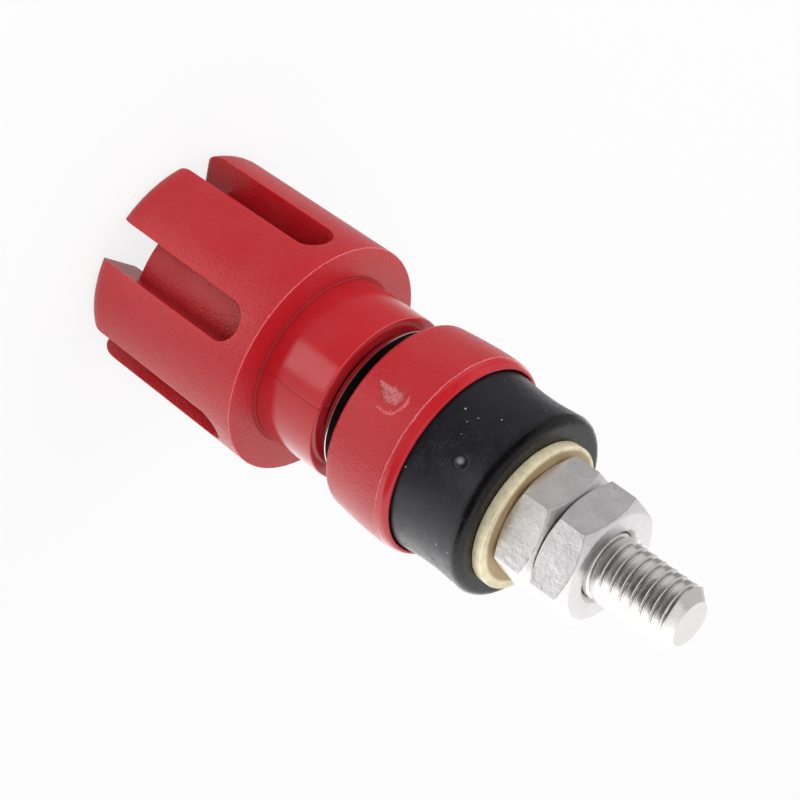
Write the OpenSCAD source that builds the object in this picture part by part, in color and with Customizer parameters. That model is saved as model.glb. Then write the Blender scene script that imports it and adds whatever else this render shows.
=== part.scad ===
// Panel binding post: a turned post with a 4 mm socket and an M4 stud, a screw
// knob with six ribs, and an insulated rear clamp held by two hex nuts.
// Millimetres. The part stands on the ribs of its knob; +Z runs along the axis
// from the knob to the end of the stud.

/* [Knob] */
// Diameter of the knob head at its shoulder
knob_d = 14.5; // [13.5:0.1:18]
// Diameter of the knob head at its free end
knob_end_d = 14.1; // [13:0.1:18]
// Length of the knob head, from the free end to the shoulder
knob_h = 12.35; // [11:0.05:16]
// Rounding of the outer edge at the free end
knob_end_round = 1.3; // [0.2:0.1:1.5]
// Number of grip slots
slot_count = 6; // [4:1:8]
// Width of each grip slot
slot_w = 2.55; // [1.6:0.05:2.8]
// Solid left between the rounded end of a slot and the shoulder
slot_stop = 1.3; // [0.8:0.1:3]
// Diameter of the core left between the slots
core_d = 10.4; // [9.8:0.1:11]
// How far the end of the core lies below the ends of the ribs
core_inset = 2.15; // [0.5:0.05:2.4]
// Diameter of the mouth around the socket
mouth_d = 7.3; // [7.2:0.05:7.6]
// Diameter of the smooth neck
neck_d = 10.56; // [10.2:0.02:11]
// Length of the neck beyond the shoulder
neck_h = 4.43; // [3.5:0.01:6]
// Fillet between shoulder and neck
neck_fillet = 0.35; // [0.1:0.05:0.6]

/* [Thread bush and pressure ring] */
// Outer diameter of the bush pressed into the knob
bush_d = 8.4; // [8:0.05:8.8]
// Depth of the ring's counterbore in the neck
ring_seat_h = 2.13; // [1.8:0.01:2.6]
// Diameter of the clamping flange of the pressure ring
ring_d = 9.6; // [9.2:0.1:10]
// Thickness of that flange
ring_t = 0.4; // [0.3:0.05:0.6]
// Gap left between the flange and the end of the neck
ring_lift = 0.33; // [0.1:0.01:0.6]
// Radial clearance of the ring in the neck
ring_clear = 0.1; // [0.05:0.01:0.2]
// Opening of the wire clamp as shown
clamp_gap = 0.84; // [0.3:0.01:1.5]

/* [Post] */
// Outer diameter of the knob thread on the post
post_d = 6.2; // [6:0.05:6.4]
// Bore of the plug socket
socket_d = 4; // [3.9:0.01:4.1]
// Straight depth of the plug socket
socket_h = 12; // [9:0.1:12.2]
// How far the socket end lies inside the free end of the knob
socket_inset = 2.6; // [2:0.1:3]
// Diameter of the wire hole through the post
wire_d = 2.2; // [1.5:0.1:2.3]
// Diameter of the contact flange
flange_d = 10.8; // [10.4:0.1:10.9]
// Thickness of the contact flange
flange_t = 1; // [0.8:0.05:1.2]
// How far the flange stands out of the collar
flange_proud = 0.1; // [0.05:0.01:0.2]
// Thickness of the round disc at the face of the flange
flange_disc = 0.35; // [0.3:0.05:0.5]
// Width across the two key flats of the flange
flange_flats = 9.6; // [9:0.1:9.8]
// Diameter of the stud
stud_d = 4; // [3.95:0.01:4]
// Diameter of the stud inside the collar and under the nuts, at mid thread
stud_core_d = 3.6; // [3.4:0.01:3.65]
// Length of the stud beyond the contact flange
stud_h = 20.6; // [18:0.01:26]
// Length of the chamfer at the end of the stud
stud_chamfer = 0.6; // [0.3:0.05:0.7]

/* [Collar and rear insulator] */
// Largest diameter of the collar, at its rim
collar_d = 12.5; // [12.2:0.1:15]
// Diameter of the collar where it meets the flange
collar_top_d = 11.3; // [11.2:0.05:11.5]
// Length of the collar
collar_h = 5.1; // [4.7:0.05:7]
// Depth of the recess behind the rim
rim_depth = 1.75; // [1.2:0.05:1.9]
// Wall of the rim around that recess
rim_wall = 0.4; // [0.3:0.05:0.6]
// Diameter of the spigot that passes through the panel
spigot_d = 8; // [7.6:0.1:8.2]
// Length of the spigot
spigot_h = 1.2; // [0.8:0.05:1.3]
// Diameter of the rear insulator at its two ends
rear_d = 11.5; // [10.8:0.05:11.5]
// Diameter of its waist
waist_d = 11.2; // [10:0.05:11.3]
// Length of the rear insulator without its spigot
rear_h = 6.75; // [5.5:0.05:9]
// Rounding of the bead at its end
bead_round = 0.55; // [0.2:0.05:1]

/* [Washer and nuts] */
// How far the washer sits off the axis in its clearance
washer_shift = 0.16; // [0:0.01:0.18]
// Outer diameter of the washer
washer_d = 9.05; // [8:0.05:10]
// Thickness of the washer
washer_t = 0.66; // [0.4:0.02:1]
// Width across the flats of the nuts
nut_flats = 7.05; // [6.8:0.05:8]
// Thickness of each nut
nut_h = 2.54; // [2:0.02:3.2]
// Gap between the two nuts as shown
nut_gap = 0.06; // [0.02:0.01:0.5]

/* [Hidden] */
$fn = 96;
eps = 0.02;
hex_sides = 6;
hex_turn = -98;
slot_turn = -79.1;
chamfer_angle = 30;
drill_angle = 59;
arc_steps = 10;
screw_clear = 0.03;
pass_clear = 0.15;
knob_r = knob_d / 2;
knob_end_r = knob_end_d / 2;
core_r = core_d / 2;
neck_r = neck_d / 2;
bush_r = bush_d / 2;
post_r = post_d / 2;
stud_r = stud_d / 2;
slot_top_z = knob_h - slot_stop;
mouth_z = 7;
neck_z = knob_h + neck_h;
bush_top_z = neck_z - ring_seat_h;
ring_r = bush_r - ring_clear;
ring_bore_r = post_r + pass_clear;
ring_back_z = neck_z + ring_lift;
ring_front_z = ring_back_z + ring_t;
ring_end_z = bush_top_z + ring_clear;
snap_z = bush_top_z + 0.75;
snap_h = 0.5;
snap_r = 0.12;
snap_clear = 0.1;
flange_z = ring_front_z + clamp_gap;
stud_z = flange_z + flange_t;
stud_end_z = stud_z + stud_h;
wire_z = flange_z - 0.1 - wire_d / 2;
socket_end_z = socket_inset + socket_h;
retainer_z = socket_inset + 0.5;
retainer_h = 0.6;
retainer_r = mouth_d / 2 - 0.1;
retainer_w = 0.8;
groove_r = retainer_r - retainer_w;
groove_clear = 0.05;
mouth_chamfer = 0.35;
post_chamfer = 0.4;
collar_z = flange_z + flange_proud;
collar_end_z = collar_z + collar_h;
rim_z = collar_end_z - rim_depth;
rim_r = collar_d / 2 - rim_wall;
spigot_clear = 0.15;
spigot_pit_z = rim_z - spigot_h - 0.1;
rear_end_z = rim_z + rear_h;
washer_end_z = rear_end_z + washer_t;
nut_1_z = washer_end_z;
nut_2_z = nut_1_z + nut_h + nut_gap;
stud_hole_r = stud_r + pass_clear;
stud_free_z = nut_2_z + nut_h + 0.05;
nut_bore_r = stud_r + screw_clear;
washer_hole_r = stud_r + 0.2;

// Sub-part to draw

// points of an arc round c, from angle a to angle b
function arc(c, r, a, b) = [for (i = [0 : arc_steps])
    c + r * [cos(a + (b - a) * i / arc_steps), sin(a + (b - a) * i / arc_steps)]];

// a straight cylinder between two heights
module rod(r, z_low, z_high)
{
    translate([0, 0, z_low])
        cylinder(r = r, h = z_high - z_low);
}

// a hexagon prism with both faces chamfered, bored through
module hex_nut(z)
{
    face_r = nut_flats / 2 * 0.95;
    corner_r = nut_flats / 2 / cos(180 / hex_sides);
    slope_h = (corner_r - face_r) * tan(chamfer_angle);
    lead = 0.4;
    translate([0, 0, z])
        difference()
        {
            intersection()
            {
                rotate([0, 0, hex_turn])
                    cylinder(r = corner_r, h = nut_h, $fn = hex_sides);
                rotate_extrude()
                    polygon([[0, 0], [face_r, 0], [corner_r + eps, slope_h + eps * tan(chamfer_angle)],
                        [corner_r + eps, nut_h - slope_h - eps * tan(chamfer_angle)],
                        [face_r, nut_h], [0, nut_h]]);
            }
            rod(nut_bore_r, -eps, nut_h + eps);
            translate([0, 0, -eps])
                cylinder(r1 = nut_bore_r + lead, r2 = nut_bore_r, h = lead);
            translate([0, 0, nut_h - lead + eps])
                cylinder(r1 = nut_bore_r, r2 = nut_bore_r + lead, h = lead);
        }
}

// one grip slot: parallel walls, a rounded end toward the shoulder
module grip_slot()
{
    reach = knob_r + 1;
    mid_z = slot_top_z - slot_w / 2;
    translate([core_r, -slot_w / 2, -eps])
        cube([reach - core_r, slot_w, mid_z + eps]);
    translate([core_r, 0, mid_z])
        rotate([0, 90, 0])
            cylinder(d = slot_w, h = reach - core_r);
    translate([0, -slot_w / 2, -eps])
        cube([reach, slot_w, core_inset + eps]);
}

// the outer shape of the knob, head and neck
module knob_blank()
{
    end_arc = arc([knob_end_r - knob_end_round, knob_end_round], knob_end_round, -90, 0);
    fillet_arc = arc([neck_r + neck_fillet, knob_h + neck_fillet], neck_fillet, 270, 180);
    neck_edge = 0.12;
    rotate_extrude()
        polygon(concat([[0, 0]], end_arc, [[knob_r, knob_h]], fillet_arc,
            [[neck_r, neck_z - neck_edge], [neck_r - neck_edge, neck_z], [0, neck_z]]));
}

module knob()
{
    color("firebrick")
        difference()
        {
            knob_blank();
            for (i = [0 : slot_count - 1])
                rotate([0, 0, slot_turn + i * 360 / slot_count])
                    grip_slot();
            rod(mouth_d / 2, -eps, mouth_z + eps);
            rod(bush_r, mouth_z, neck_z + eps);
            rod(bush_r + snap_r + snap_clear, snap_z - snap_clear, snap_z + snap_h + snap_clear);
        }
}

module thread_bush()
{
    lead = 0.3;
    color("silver")
        difference()
        {
            rod(bush_r, mouth_z, bush_top_z);
            rod(post_r + screw_clear, mouth_z - eps, bush_top_z + eps);
            translate([0, 0, mouth_z - eps])
                cylinder(r1 = post_r + screw_clear + lead, r2 = post_r + screw_clear, h = lead);
        }
}

module pressure_ring()
{
    edge = 0.06;
    color("gainsboro")
        rotate_extrude()
            polygon([[ring_bore_r, ring_end_z], [ring_r, ring_end_z], [ring_r, snap_z],
                [ring_r + snap_r, snap_z + snap_h / 2], [ring_r, snap_z + snap_h],
                [ring_r, ring_back_z], [ring_d / 2 - edge, ring_back_z],
                [ring_d / 2, ring_back_z + edge], [ring_d / 2, ring_front_z - edge],
                [ring_d / 2 - edge, ring_front_z], [ring_bore_r, ring_front_z]]);
}

module post()
{
    drill_h = socket_d / 2 / tan(drill_angle);
    color("lightgray")
        difference()
        {
            union()
            {
                translate([0, 0, socket_inset])
                    cylinder(r1 = post_r - post_chamfer, r2 = post_r, h = post_chamfer);
                rod(post_r, socket_inset + post_chamfer, flange_z);
                difference()
                {
                    rod(flange_d / 2, flange_z, stud_z);
                    for (side = [0, 180])
                        rotate([0, 0, side])
                            translate([-flange_d, flange_flats / 2, flange_z + flange_disc])
                                cube([2 * flange_d, flange_d, flange_t]);
                }
                rod(stud_core_d / 2, stud_z - eps, stud_free_z);
                rod(stud_r, stud_free_z, stud_end_z - stud_chamfer);
                translate([0, 0, stud_end_z - stud_chamfer])
                    cylinder(r1 = stud_r, r2 = stud_r - stud_chamfer, h = stud_chamfer);
            }
            rod(socket_d / 2, socket_inset - eps, socket_end_z);
            translate([0, 0, socket_end_z - eps])
                cylinder(r1 = socket_d / 2, r2 = 0, h = drill_h);
            translate([0, 0, socket_inset - eps])
                cylinder(r1 = socket_d / 2 + mouth_chamfer, r2 = socket_d / 2, h = mouth_chamfer);
            translate([0, 0, wire_z])
                rotate([0, 90, 0])
                    cylinder(d = wire_d, h = 2 * post_d, center = true);
            difference()
            {
                rod(post_r + eps, retainer_z - groove_clear, retainer_z + retainer_h + groove_clear);
                rod(groove_r, retainer_z - 1, retainer_z + retainer_h + 1);
            }
        }
}

module retaining_ring()
{
    gap_w = 1.2;
    color("dimgray")
        difference()
        {
            rod(retainer_r, retainer_z, retainer_z + retainer_h);
            rod(groove_r, retainer_z - eps, retainer_z + retainer_h + eps);
            translate([0, -gap_w / 2, retainer_z - 1])
                cube([post_d, gap_w, retainer_h + 2]);
        }
}

module collar()
{
    top_round = 0.35;
    top_r = collar_top_d / 2;
    rim_out_r = collar_d / 2;
    side_z = collar_z + top_round * 1.7;
    side_r = top_r + top_round;
    rim_edge = 0.08;
    seat_clear = 0.05;
    pit_r = flange_d / 2 + seat_clear;
    pit_flats = flange_flats / 2 + seat_clear;
    pit_step_z = flange_z + flange_disc + seat_clear;
    barrel = [for (i = [0 : arc_steps]) [
        side_r + (rim_out_r - side_r) * sin(90 * i / arc_steps),
        side_z + (collar_end_z - rim_edge - side_z) * i / arc_steps]];
    shoulder = [for (i = [0 : arc_steps - 1]) [
        top_r + top_round * sin(90 * i / arc_steps),
        side_z - top_round * 1.7 * cos(90 * i / arc_steps)]];
    color("crimson")
        difference()
        {
            rotate_extrude()
                polygon(concat([[0, collar_z]], shoulder, barrel,
                    [[rim_out_r - rim_edge, collar_end_z], [0, collar_end_z]]));
            rod(pit_r, collar_z - eps, pit_step_z);
            difference()
            {
                rod(pit_r, pit_step_z - eps, stud_z);
                for (side = [0, 180])
                    rotate([0, 0, side])
                        translate([-pit_r - 1, pit_flats, pit_step_z - 2 * eps])
                            cube([2 * pit_r + 2, pit_r, flange_t]);
            }
            rod(stud_hole_r, flange_z, collar_end_z);
            rod(spigot_d / 2 + spigot_clear, spigot_pit_z, collar_end_z);
            rod(rim_r, rim_z, collar_end_z + eps);
        }
}

module rear_insulator()
{
    rear_r = rear_d / 2;
    dip = (rear_d - waist_d) / 2;
    side_low_z = rim_z + rim_depth;
    side_h = rear_end_z - bead_round - side_low_z;
    side = [for (i = [0 : arc_steps]) [
        rear_r - dip * sin(180 * i / arc_steps), side_low_z + side_h * i / arc_steps]];
    bead = arc([rear_r - bead_round, rear_end_z - bead_round], bead_round, 0, 90);
    color("dimgray")
        difference()
        {
            rotate_extrude()
                polygon(concat([[0, rim_z - spigot_h], [spigot_d / 2 - 0.2, rim_z - spigot_h],
                    [spigot_d / 2, rim_z - spigot_h + 0.2], [spigot_d / 2, rim_z], [rear_r, rim_z]],
                    side, bead, [[0, rear_end_z]]));
            rod(stud_hole_r, rim_z - spigot_h - eps, rear_end_z + eps);
        }
}

module washer()
{
    edge = 0.05;
    color("goldenrod")
        translate([washer_shift, 0, 0])
            rotate_extrude()
                polygon([[washer_hole_r, rear_end_z], [washer_d / 2 - edge, rear_end_z],
                    [washer_d / 2, rear_end_z + edge], [washer_d / 2, washer_end_z - edge],
                    [washer_d / 2 - edge, washer_end_z], [washer_hole_r, washer_end_z]]);
}

module mounting_nut()
{
    color("gainsboro")
        hex_nut(nut_1_z);
}

module terminal_nut()
{
    color("gainsboro")
        hex_nut(nut_2_z);
}

knob();
thread_bush();
pressure_ring();
post();
retaining_ring();
collar();
rear_insulator();
washer();
mounting_nut();
terminal_nut();
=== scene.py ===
"""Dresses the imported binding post: moulded and turned pieces, finishes, stage, light and camera.

Shapes are drawn in millimetres about the post's axis and brought to metres when a piece is done.
"""
import logging
import math
from contextlib import contextmanager
from dataclasses import dataclass
from enum import Enum
from functools import cache
from typing import Iterator, Sequence

import bpy
from mathutils import Matrix, Vector


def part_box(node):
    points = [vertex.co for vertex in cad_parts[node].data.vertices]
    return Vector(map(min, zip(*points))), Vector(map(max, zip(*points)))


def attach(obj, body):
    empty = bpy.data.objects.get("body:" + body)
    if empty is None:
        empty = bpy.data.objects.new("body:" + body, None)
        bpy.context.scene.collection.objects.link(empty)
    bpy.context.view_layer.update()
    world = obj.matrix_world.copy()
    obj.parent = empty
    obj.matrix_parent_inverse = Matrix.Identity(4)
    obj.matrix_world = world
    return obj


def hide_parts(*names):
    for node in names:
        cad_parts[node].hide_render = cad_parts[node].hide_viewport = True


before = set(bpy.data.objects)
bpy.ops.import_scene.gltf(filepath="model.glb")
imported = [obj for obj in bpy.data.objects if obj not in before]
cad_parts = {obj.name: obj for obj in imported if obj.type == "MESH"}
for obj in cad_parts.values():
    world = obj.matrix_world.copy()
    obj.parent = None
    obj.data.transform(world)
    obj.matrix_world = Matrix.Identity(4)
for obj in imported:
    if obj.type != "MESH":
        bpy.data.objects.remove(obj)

LOG = logging.getLogger("binding_post")
MM = 0.001
Point = tuple[float, float]
Piece, Material, Node = bpy.types.Object, bpy.types.Material, bpy.types.Node
Socket, Sockets, Tree = bpy.types.NodeSocket, bpy.types.bpy_prop_collection, bpy.types.NodeTree


class Body(Enum):
    """The moving bodies that pieces ride on."""

    POST = "fixed_post"
    CLAMP = "clamp_slide"
    KNOB = "knob"
    REAR = "rear_clamp"
    MOUNTING_NUT = "mounting_nut"
    TERMINAL_NUT = "terminal_nut"


class Cut(Enum):
    """What a boolean does to a piece."""

    TAKE = "DIFFERENCE"
    KEEP = "INTERSECT"


# ---------------------------------------------------------------- modelling by operators


def box_mm(node: str) -> tuple[Vector, Vector]:
    """Lowest and highest corner of a CAD node at rest, in millimetres."""
    low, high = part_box(node)
    return Vector(low) / MM, Vector(high) / MM


def deselect() -> None:
    """Leaves nothing selected and nothing active."""
    if bpy.context.object and bpy.context.object.mode != "OBJECT":
        bpy.ops.object.mode_set(mode="OBJECT")
    bpy.ops.object.select_all(action="DESELECT")
    bpy.context.view_layer.objects.active = None


def activate(piece: Piece) -> None:
    """Makes one object the only selected and active one."""
    deselect()
    piece.select_set(True)
    bpy.context.view_layer.objects.active = piece


@contextmanager
def editing(piece: Piece) -> Iterator[None]:
    """Opens a piece in edit mode with all of its points selected, and closes it again."""
    activate(piece)
    bpy.ops.object.mode_set(mode="EDIT")
    bpy.ops.mesh.select_mode(type="VERT")
    bpy.ops.mesh.select_all(action="SELECT")
    yield
    bpy.ops.object.mode_set(mode="OBJECT")


def arc(centre: Point, radius: float, start: float, stop: float, steps: int = 8) -> list[Point]:
    """Points of an arc between two angles in degrees, in the drawing plane."""
    angles = [math.radians(start + (stop - start) * i / steps) for i in range(steps + 1)]
    return [(centre[0] + radius * math.cos(a), centre[1] + radius * math.sin(a)) for a in angles]


def draw_chain(name: str, points: Sequence[Vector]) -> Piece:
    """Draws a chain of edges by extruding a single vertex from point to point."""
    deselect()
    bpy.ops.mesh.primitive_plane_add(size=1)
    piece = bpy.context.object
    piece.name = name
    with editing(piece):
        bpy.ops.mesh.merge(type="CENTER")
        bpy.ops.transform.translate(value=points[0])
        for here, there in zip(points, points[1:]):
            bpy.ops.mesh.extrude_vertices_move(TRANSFORM_OT_translate={"value": there - here})
    return piece


def heal(piece: Piece) -> None:
    """Merges doubled points and turns all faces outwards."""
    with editing(piece):
        bpy.ops.mesh.remove_doubles(threshold=1e-4)
        bpy.ops.mesh.normals_make_consistent(inside=False)


def lathe(name: str, outline: Sequence[Point], steps: int = 192, closed: bool = True) -> Piece:
    """Turns an outline of (radius, height) points around the axis.

    Args:
        outline: the points, in order around the section.
        steps: number of steps in a full turn.
        closed: whether the last point joins the first.

    Returns:
        The turned piece.
    """
    ring = list(outline) + ([outline[0]] if closed and outline[0][0] > 0 else [])
    piece = draw_chain(name, [Vector((r, 0, z)) for r, z in ring])
    with editing(piece):
        bpy.ops.mesh.spin(steps=steps, angle=2 * math.pi, center=(0, 0, 0), axis=(0, 0, 1))
    heal(piece)
    return piece


def prism(name: str, outline: Sequence[Point], start: float, length: float) -> Piece:
    """Pulls an outline of (y, z) points along X into a solid.

    Args:
        outline: corner points of the face.
        start: where the face lies along X.
        length: how far it is pulled.

    Returns:
        The solid.
    """
    piece = draw_chain(name, [Vector((start, y, z)) for y, z in outline])
    with editing(piece):
        bpy.ops.mesh.edge_face_add()
        bpy.ops.mesh.select_all(action="SELECT")
        bpy.ops.mesh.extrude_region_move(TRANSFORM_OT_translate={"value": Vector((length, 0, 0))})
    heal(piece)
    return piece


def rod(name: str, radius: float, low: float, high: float, vertices: int = 96) -> Piece:
    """A straight cylinder on the axis, for cutting or as a start."""
    deselect()
    bpy.ops.mesh.primitive_cylinder_add(
        vertices=vertices, radius=radius, depth=high - low, location=(0, 0, (low + high) / 2)
    )
    piece = bpy.context.object
    piece.name = name
    bpy.ops.object.transform_apply(location=True, rotation=True, scale=True)
    return piece


def turned_copy(piece: Piece, degrees: float) -> Piece:
    """A copy of a piece with its own mesh, turned about the axis."""
    copy = piece.copy()
    copy.data = piece.data.copy()
    bpy.context.collection.objects.link(copy)
    copy.rotation_euler = (0, 0, math.radians(degrees))
    activate(copy)
    bpy.ops.object.transform_apply(location=False, rotation=True, scale=False)
    return copy


def cut(piece: Piece, tool: Piece, how: Cut) -> None:
    """Applies a boolean to a piece, and clears its tool away."""
    activate(piece)
    step = piece.modifiers.new("cut", "BOOLEAN")
    step.operation, step.object, step.solver = how.value, tool, "EXACT"
    bpy.ops.object.modifier_apply(modifier=step.name)
    bpy.data.objects.remove(tool, do_unlink=True)


def soften(piece: Piece, width: float, segments: int = 2, angle: float = 35.0) -> None:
    """Rounds the edges that are sharper than an angle, and applies it."""
    activate(piece)
    step = piece.modifiers.new("edges", "BEVEL")
    step.width, step.segments, step.limit_method = width, segments, "ANGLE"
    step.angle_limit, step.use_clamp_overlap = math.radians(angle), True
    bpy.ops.object.modifier_apply(modifier=step.name)


def complete(
    piece: Piece,
    body: Body,
    finish: "Finish",
    stands_for: Sequence[str] = (),
    smooth: float = 35.0,
) -> Piece:
    """Brings a drawn piece to metres, shades it, dresses it and fastens it to its body.

    Args:
        piece: the piece, drawn in millimetres.
        body: the body it rides on.
        finish: what it is made of.
        stands_for: CAD nodes that it replaces.
        smooth: edges flatter than this many degrees are shaded smooth.

    Returns:
        The finished piece.
    """
    with editing(piece):
        bpy.ops.transform.resize(value=(MM, MM, MM), center_override=(0, 0, 0))
    activate(piece)
    bpy.ops.object.shade_smooth_by_angle(angle=math.radians(smooth))
    step = piece.modifiers.new("even_shading", "WEIGHTED_NORMAL")
    step.mode, step.weight, step.keep_sharp = "FACE_AREA", 60, True
    bpy.ops.object.modifier_apply(modifier=step.name)
    piece.data.materials.clear()
    piece.data.materials.append(finish.material())
    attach(piece, body.value)
    if stands_for:
        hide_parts(*stands_for)
    LOG.info("%s: %d faces on %s", piece.name, len(piece.data.polygons), body.value)
    return piece


# ---------------------------------------------------------------- shader graphs


@dataclass
class Graph:
    """A node tree that is wired step by step."""

    tree: Tree

    def add(self, kind: str, **settings: object) -> Node:
        """A new node with its settings."""
        node = self.tree.nodes.new(kind)
        for name, value in settings.items():
            setattr(node, name, value)
        return node

    def wire(self, value: object, socket: Socket) -> None:
        """Links a socket, or sets a plain number or colour, on an input."""
        if isinstance(value, Socket):
            self.tree.links.new(value, socket)
        else:
            socket.default_value = value

    def math(self, how: str, a: object, b: object = 0.0, clamp: bool = False) -> Socket:
        """A Math node; a and b are sockets or numbers."""
        node = self.add("ShaderNodeMath", operation=how, use_clamp=clamp)
        for value, socket in zip((a, b), node.inputs):
            self.wire(value, socket)
        return node.outputs[0]

    def plus(self, a: object, b: object) -> Socket:
        """The sum of two values."""
        return self.math("ADD", a, b)

    def minus(self, a: object, b: object, clamp: bool = False) -> Socket:
        """The first value less the second."""
        return self.math("SUBTRACT", a, b, clamp)

    def times(self, a: object, b: object) -> Socket:
        """The product of two values."""
        return self.math("MULTIPLY", a, b)

    def over(self, a: object, b: object) -> Socket:
        """The first value divided by the second."""
        return self.math("DIVIDE", a, b)

    def length(self, a: object, b: object) -> Socket:
        """The length of the vector (a, b)."""
        return self.math("SQRT", self.plus(self.times(a, a), self.times(b, b)))

    def place_mm(self) -> Socket:
        """The place on the piece, in millimetres."""
        place = self.add("ShaderNodeTexCoord")
        scaled = self.add("ShaderNodeMapping")
        scaled.inputs["Scale"].default_value = (1 / MM, 1 / MM, 1 / MM)
        self.wire(place.outputs["Object"], scaled.inputs["Vector"])
        return scaled.outputs[0]

    def mirrored(self, rays: Node) -> Socket:
        """1 where a Light Path node's ray comes from a mirror or through glass."""
        return self.math("MAXIMUM", rays.outputs["Is Glossy Ray"], rays.outputs["Is Transmission Ray"])

    def split(self, vector: Socket) -> Sequence[Socket]:
        """The three parts of a vector."""
        node = self.add("ShaderNodeSeparateXYZ")
        self.wire(vector, node.inputs[0])
        return node.outputs

    def blend(self, factor: object, a: object, b: object, how: str = "MIX") -> Socket:
        """A colour mix of a and b."""
        node = self.add("ShaderNodeMix", data_type="RGBA", blend_type=how)
        self.wire(factor, node.inputs["Factor"])
        self.wire(a, node.inputs[6])
        self.wire(b, node.inputs[7])
        return node.outputs[2]

    def tint(
        self, tone: Socket, mask: object, share: float, colour: tuple[float, float, float]
    ) -> Socket:
        """Lays a share of a colour over a tone where a mask says so."""
        return self.blend(self.times(mask, share), tone, (*colour, 1))

    def noise(self, vector: object, scale: float, detail: float = 3.0, rough: float = 0.5) -> Socket:
        """A noise value around 0.5."""
        node = self.add("ShaderNodeTexNoise")
        self.wire(vector, node.inputs["Vector"])
        node.inputs["Scale"].default_value = scale
        node.inputs["Detail"].default_value = detail
        node.inputs["Roughness"].default_value = rough
        return node.outputs[0]

    def ramp(self, value: object, low: float, high: float) -> Socket:
        """Maps low..high to 0..1 smoothly."""
        node = self.add("ShaderNodeMapRange", interpolation_type="SMOOTHSTEP")
        self.wire(value, node.inputs["Value"])
        node.inputs["From Min"].default_value = low
        node.inputs["From Max"].default_value = high
        return node.outputs[0]

    def group(self, tree: Tree, **inputs: object) -> Sockets:
        """Places a node group with its inputs, and gives its outputs."""
        node = self.add("ShaderNodeGroup", node_tree=tree)
        for name, value in inputs.items():
            self.wire(value, node.inputs[name])
        return node.outputs


def new_group(
    name: str, inputs: dict[str, float | None], outputs: Sequence[str]
) -> tuple[Tree, Graph, Sockets, Sockets]:
    """Starts a node group: its tree and graph, what comes in and what goes out.

    An input with no default number is a vector.
    """
    tree = bpy.data.node_groups.new(name, "ShaderNodeTree")
    for label, default in inputs.items():
        kind = "NodeSocketVector" if default is None else "NodeSocketFloat"
        socket = tree.interface.new_socket(label, in_out="INPUT", socket_type=kind)
        if default is not None:
            socket.default_value = default
    for label in outputs:
        tree.interface.new_socket(label, in_out="OUTPUT", socket_type="NodeSocketFloat")
    graph = Graph(tree)
    return tree, graph, graph.add("NodeGroupInput").outputs, graph.add("NodeGroupOutput").inputs


@cache
def grain_tree() -> Tree:
    """Fine moulding grain: a height from noise, and a slow patchiness."""
    tree, g, source, sink = new_group(
        "fine_grain", {"Vector": None, "Size": 0.1, "Patch": 2.0}, ("Height", "Patches")
    )
    fine = g.add("ShaderNodeTexNoise")
    g.wire(source["Vector"], fine.inputs["Vector"])
    g.wire(g.over(1.0, source["Size"]), fine.inputs["Scale"])
    fine.inputs["Detail"].default_value = 2.5
    patch = g.add("ShaderNodeTexNoise")
    g.wire(source["Vector"], patch.inputs["Vector"])
    g.wire(g.over(1.0, source["Patch"]), patch.inputs["Scale"])
    g.wire(fine.outputs[0], sink["Height"])
    g.wire(g.ramp(patch.outputs[0], 0.35, 0.65), sink["Patches"])
    return tree


@cache
def specks_tree() -> Tree:
    """Sparse round specks: a mask that is 1 on each speck, and a rounded height."""
    tree, g, source, sink = new_group(
        "specks", {"Vector": None, "Spacing": 1.0, "Size": 0.08, "Share": 0.5}, ("Mask", "Height")
    )
    cells = g.add("ShaderNodeTexVoronoi")
    g.wire(source["Vector"], cells.inputs["Vector"])
    g.wire(g.over(1.0, source["Spacing"]), cells.inputs["Scale"])
    distance = g.times(cells.outputs["Distance"], source["Spacing"])
    dot = g.minus(1.0, g.over(distance, source["Size"]), clamp=True)
    lottery = g.split(cells.outputs["Color"])[0]
    shape = g.times(dot, g.math("LESS_THAN", lottery, source["Share"]))
    g.wire(g.ramp(shape, 0.0, 0.5), sink["Mask"])
    g.wire(shape, sink["Height"])
    return tree


@cache
def turning_tree() -> Tree:
    """Fine tool marks around the axis, on faces and on cylinders alike."""
    tree, g, source, sink = new_group(
        "turning_marks", {"Vector": None, "Pitch": 0.08}, ("Height",)
    )
    x, y, z = g.split(source["Vector"])
    radius = g.length(x, y)
    along = g.plus(radius, g.times(z, 0.93))
    place = g.add("ShaderNodeCombineXYZ")
    g.wire(g.over(along, source["Pitch"]), place.inputs[0])
    g.wire(g.noise(place.outputs[0], 1.0, 2.0), sink["Height"])
    return tree


@cache
def mottle_tree() -> Tree:
    """Blotches of handling and tarnish in two sizes."""
    tree, g, source, sink = new_group("mottle", {"Vector": None, "Size": 1.0}, ("Blotches", "Fine"))
    scale = g.over(1.0, source["Size"])
    for label, factor, detail in (("Blotches", 1.0, 4.0), ("Fine", 6.0, 5.0)):
        node = g.add("ShaderNodeTexNoise")
        g.wire(source["Vector"], node.inputs["Vector"])
        g.wire(g.times(scale, factor), node.inputs["Scale"])
        node.inputs["Detail"].default_value = detail
        node.inputs["Roughness"].default_value = 0.62
        g.wire(g.ramp(node.outputs[0], 0.38, 0.64), sink[label])
    return tree


@cache
def around_tree() -> Tree:
    """Where a point lies on a turned piece: radius, height, and angle from the front toward +X."""
    tree, g, source, sink = new_group("around", {"Vector": None}, ("Radius", "Height", "Angle"))
    x, y, z = g.split(source["Vector"])
    g.wire(g.length(x, y), sink["Radius"])
    g.wire(z, sink["Height"])
    g.wire(g.math("ARCTAN2", x, g.times(y, -1.0)), sink["Angle"])
    return tree


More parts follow.
